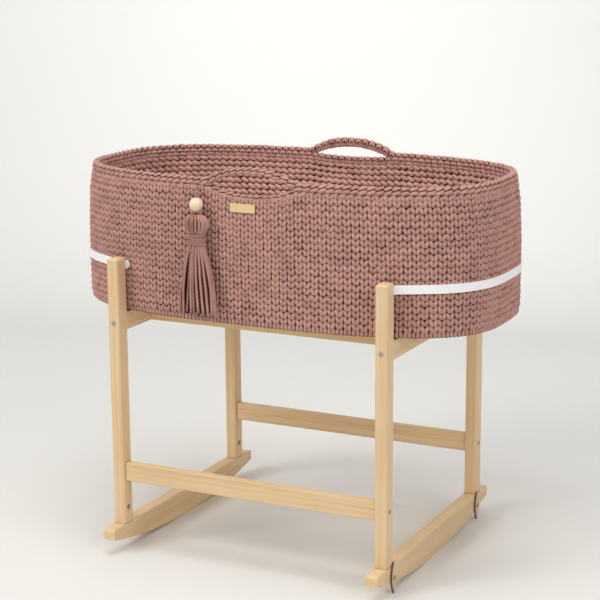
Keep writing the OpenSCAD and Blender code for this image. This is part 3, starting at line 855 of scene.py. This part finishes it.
def tassel_strand(turn, reach, rng):
    """One strand's path and radii, from the crown down to its cut end."""
    bend = rng.uniform(-3.0, 3.0) * MM
    swing = rng.uniform(0.86, 1.0)
    end = SKIRT_LOW.z + rng.uniform(0.0, 5.0) * MM
    lift = rng.uniform(0.90, 1.0)
    heights = list(np.linspace(HEAD_HIGH.z - 1.5 * MM, BAND_HIGH.z, 9))
    heights += list(np.linspace(BAND_LOW.z, end, 13))
    path, radii = [], []
    for z in heights:
        wide, deep = tassel_profile(z)
        thick = strand_radius(z)
        low = max(0.0, (SKIRT_HIGH.z - z) / (SKIRT_HIGH.z - SKIRT_LOW.z))
        wave = bend * math.sin(low * math.pi)
        x = (wide - thick) * reach * math.cos(turn) * (1 - (1 - swing) * low) + wave
        y = (deep - thick) * reach * lift * math.sin(turn)
        path.append((TASSEL_MIDDLE.x + x, TASSEL_MIDDLE.y + y, z))
        radii.append(thick)
    radii[0] = 1.2 * MM
    return path, radii


def tassel_wraps(rng):
    """The cord wound round the tassel's neck."""
    wraps = Cordwork()
    turns, points = 4, 36
    pitch = (BAND_HIGH.z - BAND_LOW.z) / turns
    wide, deep = tassel_profile(BAND_LOW.z)
    for i in range(turns):
        z = BAND_LOW.z + pitch * (i + 0.5)
        tilt = rng.uniform(-0.03, 0.03)
        ring = []
        for k in range(points):
            turn = 2 * math.pi * k / points
            x, y = (wide + 0.2 * MM) * math.cos(turn), (deep + 0.2 * MM) * math.sin(turn)
            ring.append((TASSEL_MIDDLE.x + x, TASSEL_MIDDLE.y + y, z + x * tilt))
        wraps.stroke(ring, pitch * 0.52, closed=True)
    return wraps


def build_tassel():
    """The tassel's three rings of strands, one inside another, and its wound band."""
    rng = random.Random(12)
    strands = Cordwork()
    for count, reach, offset in ((24, 1.0, 0.0), (19, 0.76, 0.5), (11, 0.44, 0.2)):
        for k in range(count):
            turn = 2 * math.pi * (k + offset + rng.uniform(-0.16, 0.16)) / count
            strands.stroke(*tassel_strand(turn, reach, rng))

    # Painted shade: strands lying towards the tassel's middle get darker.
    def crown(v):
        wide, deep = tassel_profile(v.z)
        off = math.hypot((v.x - TASSEL_MIDDLE.x) / wide, (v.y - TASSEL_MIDDLE.y) / deep)
        return min(0.68, max(0.0, (off - 0.76) / 0.26))

    body = strands.build("tassel_strands", ROSE, crown)
    paint(body, "shade", strand_shades(body, rng))
    band = tassel_wraps(rng).build("tassel_wrap", ROSE, lambda v: 0.6)
    paint(band, "shade", [0.5] * len(band.data.vertices))
    for piece, nodes in ((body, ("tassel_head", "tassel_skirt")), (band, ("tassel_band",))):
        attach(piece, "tassel")
        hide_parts(*nodes)


def strand_shades(obj, rng):
    """One shade for each strand, found from the mesh's loose parts."""
    count = len(obj.data.vertices)
    parent = list(range(count))

    def root(i):
        while parent[i] != i:
            parent[i] = parent[parent[i]]
            i = parent[i]
        return i

    for edge in obj.data.edges:
        a, b = root(edge.vertices[0]), root(edge.vertices[1])
        if a != b:
            parent[a] = b
    tones = {}
    return [tones.setdefault(root(i), rng.uniform(0.2, 0.8)) for i in range(count)]


def build_loop():
    """The thin cord that hangs the bead from the wall."""
    _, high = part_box("tassel_loop")
    bead_low, bead_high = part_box("tassel_bead")
    x, y = (bead_low.x + bead_high.x) / 2, (bead_low.y + bead_high.y) / 2
    work = Cordwork()
    for s in (-1, 1):
        path = [(x + 5.5 * MM * s, high.y + 1.0 * MM, high.z + 0.5 * MM),
                (x + 4.5 * MM * s, high.y - 6 * MM, high.z - 1 * MM),
                (x + 2.4 * MM * s, y + 5 * MM, high.z - 1.5 * MM),
                (x + 1.0 * MM * s, y, bead_high.z - 0.5 * MM),
                (x + 0.9 * MM * s, y, bead_low.z + 4 * MM)]
        work.stroke(smooth_path(path, 5), 1.25 * MM)
    loop = work.build("tassel_hanging_cord", ROSE, lambda v: 0.6)
    paint(loop, "shade", [0.6] * len(loop.data.vertices))
    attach(loop, "tassel_hanger")
    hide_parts("tassel_loop")


# ---------------------------------------------------------------- mattress

def mattress_form():
    """The mattress before it is filled: a rounded slab a little smaller than its space."""
    low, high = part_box("mattress")
    inset = OVAL_A - high.x + PAD_SHRINK
    steps = 180
    floor_z, crest_z = low.z + 1 * MM, high.z - 2 * MM
    side = [(6 * MM, 0.0), (1.8 * MM, 1.8 * MM), (0.0, 6 * MM)]
    caps = [inset + (OVAL_B - inset) * part for part in (0.97, 0.8, 0.6, 0.4, 0.2)]
    profile = [(cap, floor_z) for cap in caps]
    profile += [(inset + deep, floor_z + rise) for deep, rise in side]
    profile += [(inset, floor_z + (crest_z - floor_z) * part) for part in (0.33, 0.5, 0.67)]
    profile += [(inset + deep, crest_z - rise) for deep, rise in reversed(side)]
    profile += [(cap, crest_z) for cap in reversed(caps)]
    rings = [[p + UP * z for p, _, _ in oval_walk(deep, steps)[0]] for deep, z in profile]
    obj = ring_shell("mattress_pad", rings, COVER)
    mesh = bmesh.new()
    mesh.from_mesh(obj.data)
    bmesh.ops.holes_fill(mesh, edges=[e for e in mesh.edges if e.is_boundary])
    bmesh.ops.triangulate(mesh, faces=[f for f in mesh.faces if len(f.verts) > 4])
    bmesh.ops.recalc_face_normals(mesh, faces=mesh.faces)
    mesh.to_mesh(obj.data)
    mesh.free()
    return obj


def apply_modifiers(obj):
    """Makes what the modifiers give the object's own mesh."""
    mesh = bpy.data.meshes.new_from_object(obj.evaluated_get(bpy.context.evaluated_depsgraph_get()))
    obj.modifiers.clear()
    obj.data = mesh


def fill_pad(obj, cap):
    """Swells a pad by cloth simulation, and holds each point within cap of where it began."""
    remesh = obj.modifiers.new("remesh", "REMESH")
    remesh.mode, remesh.voxel_size = "VOXEL", 7 * MM
    apply_modifiers(obj)
    start = np.array([v.co for v in obj.data.vertices])
    cloth = obj.modifiers.new("cloth", "CLOTH")
    cloth.settings.use_pressure = True
    cloth.settings.uniform_pressure_force = 4.0
    cloth.settings.effector_weights.gravity = 0.0
    cloth.settings.quality = 4
    scene = bpy.context.scene
    frames = 20
    scene.frame_start, scene.frame_end = 1, frames
    for number in range(1, frames + 1):
        scene.frame_set(number)
    apply_modifiers(obj)
    moved = np.array([v.co for v in obj.data.vertices]) - start
    size = np.linalg.norm(moved, axis=1, keepdims=True)
    moved *= np.minimum(1.0, cap / np.maximum(size, 1e-9))
    obj.data.vertices.foreach_set("co", (start + moved).ravel())
    scene.frame_set(1)


def pad_edge(pad, z, inset, steps):
    """A ring that lies on the pad's side at a height."""
    def full(turn):
        return oval_point(OVAL_A - inset, OVAL_B - inset, turn).length

    co = np.array([v.co for v in pad.data.vertices])
    co = co[np.abs(co[:, 2] - z) < 5 * MM]
    turn = np.arctan2(co[:, 1], co[:, 0])
    share_out = np.linalg.norm(co[:, :2], axis=1) / np.array([full(t) for t in turn])
    stops = np.arange(steps) * (2 * math.pi / steps)
    apart = np.abs((turn[None, :] - stops[:, None] + math.pi) % (2 * math.pi) - math.pi)
    best = np.where(apart < 0.05, share_out[None, :], 0.0).max(axis=1)
    best = sum(np.roll(best, shift) for shift in range(-2, 3)) / 5
    sunk = 0.8 * MM
    return [Vector((math.cos(stop), math.sin(stop), 0)) * (full(stop) * part - sunk) + UP * z
            for stop, part in zip(stops, best)]


def build_mattress():
    """The filled mattress, kept inside its CAD solid's outline, with piping along both edges."""
    pad = mattress_form()
    low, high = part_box("mattress")
    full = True
    if full:
        fill_pad(pad, PAD_SWELL)
    co = np.array([v.co for v in pad.data.vertices])
    co[:, 2] = np.clip(co[:, 2], low.z, None)
    reach = np.linalg.norm(co[:, :2], axis=1)
    turn = np.arctan2(co[:, 1], co[:, 0])
    inset = OVAL_A - high.x
    limit = np.array([oval_point(OVAL_A - inset, OVAL_B - inset, t).length for t in turn])
    co[:, :2] *= np.minimum(1.0, limit / np.maximum(reach, 1e-9))[:, None]
    pad.data.vertices.foreach_set("co", co.ravel())
    pad.data.update()
    if full:
        subdivide = pad.modifiers.new("subdivide", "SUBSURF")
        subdivide.levels = subdivide.render_levels = 1
        apply_modifiers(pad)
    pad.data.polygons.foreach_set("use_smooth", [True] * len(pad.data.polygons))
    pad.data.materials.clear()
    pad.data.materials.append(COVER)
    pad.name = "mattress_pad"
    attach(pad, "mattress")
    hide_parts("mattress")
    piping = Cordwork()
    for z in (low.z + 5 * MM, high.z - 4 * MM):
        piping.stroke(pad_edge(pad, z, inset, 200), PIPING, closed=True)
    seam = piping.build("mattress_piping", COVER, lambda v: 1.0)
    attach(seam, "mattress")
    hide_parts("mattress")


# ---------------------------------------------------------------- the frame's own pieces

def dress(node, material):
    """Gives a kept CAD node its material."""
    mesh = NODES[node].data
    mesh.materials.clear()
    mesh.materials.append(material)


def dress_frame():
    """Gives every CAD node that shows its material, with the grain along each bar."""
    grain = {"post_front_left": "Z", "post_front_right": "Z", "post_rear_left": "Z", "post_rear_right": "Z",
             "rocker_left": "Y", "rocker_right": "Y", "cross_rail_left": "Y", "cross_rail_right": "Y",
             "stretcher_front": "X", "stretcher_rear": "X",
             "support_rail_front": "X", "support_rail_rear": "X"}
    for seed, (node, axis) in enumerate(grain.items()):
        dress(node, wood("beech_" + node, axis, seed + 1, BEECH_LIGHT, BEECH_DARK, BEECH_LINE))
    plain = {
        ZINC: ("cross_rail_screws", "strap_screws", "stopper_screws", "rocker_bolts", "support_rail_screws"),
        NUT_STEEL: ("barrel_nuts",),
        DARK_STEEL: ("stretcher_screws",),
        BIRCH_STOPPER: ("stopper_front", "stopper_rear"),
        BIRCH_BOARD: ("base_board", "rail_dowels", "stretcher_dowels"),
        WEBBING: ("strap_left", "strap_right"),
        BRASS: ("tag_plate", "tag_rivets"),
        BEAD_WOOD: ("tassel_bead",),
    }
    for material, nodes in plain.items():
        for node in nodes:
            dress(node, material)


def loop_round(corner, across, up, long, tall, bevel):
    """A rectangle with cut corners, as a closed path."""
    turns = [(bevel, 0), (long - bevel, 0), (long, bevel), (long, tall - bevel),
             (long - bevel, tall), (bevel, tall), (0, tall - bevel), (0, bevel)]
    return [corner + across * u + up * v for u, v in turns]


def build_seams():
    """The fine dark lines where the posts meet the rockers and the stretchers."""
    work = Cordwork()
    x_way, y_way = Vector((1, 0, 0)), Vector((0, 1, 0))
    for node in ("post_front_left", "post_front_right", "post_rear_left", "post_rear_right"):
        low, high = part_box(node)
        size = high - low
        around = loop_round(low, x_way, y_way, size.x, size.y, 1.5 * MM)
        work.stroke(around, SEAM, sides=6, closed=True)
    for node in ("stretcher_front", "stretcher_rear"):
        low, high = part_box(node)
        size = high - low
        for start in (low, Vector((high.x, low.y, low.z))):
            around = loop_round(start, y_way, UP, size.y, size.z, 2.0 * MM)
            work.stroke(around, SEAM, sides=6, closed=True)
    shadow = matt("joint_shadow", srgb(120, 84, 52), srgb(104, 70, 42))
    seams = work.build("joint_seams", shadow, lambda v: 1.0)
    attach(seams, "stand")


# ---------------------------------------------------------------- studio

def build_camera():
    """The camera, at the right of the front and a little above."""
    round_left, look_down, roll = 26.398, 12.774, -0.382
    camera = link(bpy.data.objects.new("camera", bpy.data.cameras.new("camera")))
    camera.data.lens = 101.9
    camera.data.sensor_width = 36.0
    turn = (Matrix.Rotation(math.radians(round_left), 4, "Z")
            @ Matrix.Rotation(math.radians(90 - look_down), 4, "X")
            @ Matrix.Rotation(math.radians(roll), 4, "Z"))
    camera.matrix_world = Matrix.Translation((1.4279, -2.8799, 1.2030)) @ turn
    bpy.context.scene.camera = camera


def area_light(name, place, aim, size, power, tint=(1.0, 1.0, 1.0)):
    """A round soft light, with its size in metres and its power in watts."""
    lamp = bpy.data.lights.new(name, "AREA")
    lamp.shape, lamp.size, lamp.energy, lamp.color = "DISK", size, power, tint
    obj = link(bpy.data.objects.new(name, lamp))
    obj.location = place
    obj.rotation_euler = (Vector(aim) - Vector(place)).to_track_quat("-Z", "Y").to_euler()


def build_studio():
    """A pale floor that curves up into a wall, and four soft lights under an even sky."""
    paper = matt("studio_paper", srgb(232, 231, 228), srgb(228, 227, 223))
    depth, width, tall, floor_end, radius, steps = 9.0, 16.0, 9.0, 2.6, 2.0, 16
    profile = [(-depth, 0.0)]
    for i in range(steps + 1):
        bend = math.pi / 2 * i / steps
        profile.append((floor_end + radius * math.sin(bend), radius * (1 - math.cos(bend))))
    profile.append((floor_end + radius, tall))
    verts = [(s * width / 2, y, z) for y, z in profile for s in (-1, 1)]
    faces = [(2 * i, 2 * i + 1, 2 * i + 3, 2 * i + 2) for i in range(len(profile) - 1)]
    turn = Matrix.Rotation(math.radians(26.4), 4, "Z")
    verts = [turn @ Vector(v) for v in verts]
    backdrop = mesh_object("backdrop", verts, faces, paper)
    world = bpy.data.worlds.new("studio")
    bpy.context.scene.world = world
    world.use_nodes = True
    g = Graph(world.node_tree)
    sky = g.node("ShaderNodeBackground", {}, {"Color": (0.985, 0.99, 1.0, 1.0), "Strength": 0.43})
    g.node("ShaderNodeOutputWorld", {}, {"Surface": sky})
    area_light("key", (-3.0, -4.6, 4.3), (0, 0, 0.45), 2.8, 158.0, (1.0, 0.985, 0.965))
    area_light("fill", (3.4, -1.4, 2.2), (0, 0, 0.4), 2.4, 33.0)
    area_light("top", (0.1, -0.5, 3.6), (0, 0.2, 0.5), 2.4, 54.0)
    area_light("wall_wash", (-0.7, 1.8, 2.4), (-1.7, 4.8, 2.0), 2.0, 44.0)
    bpy.context.scene.view_settings.view_transform = "Standard"


build_camera()
build_studio()
dress_frame()
build_seams()
build_basket()
build_tassel()
build_loop()
build_mattress()
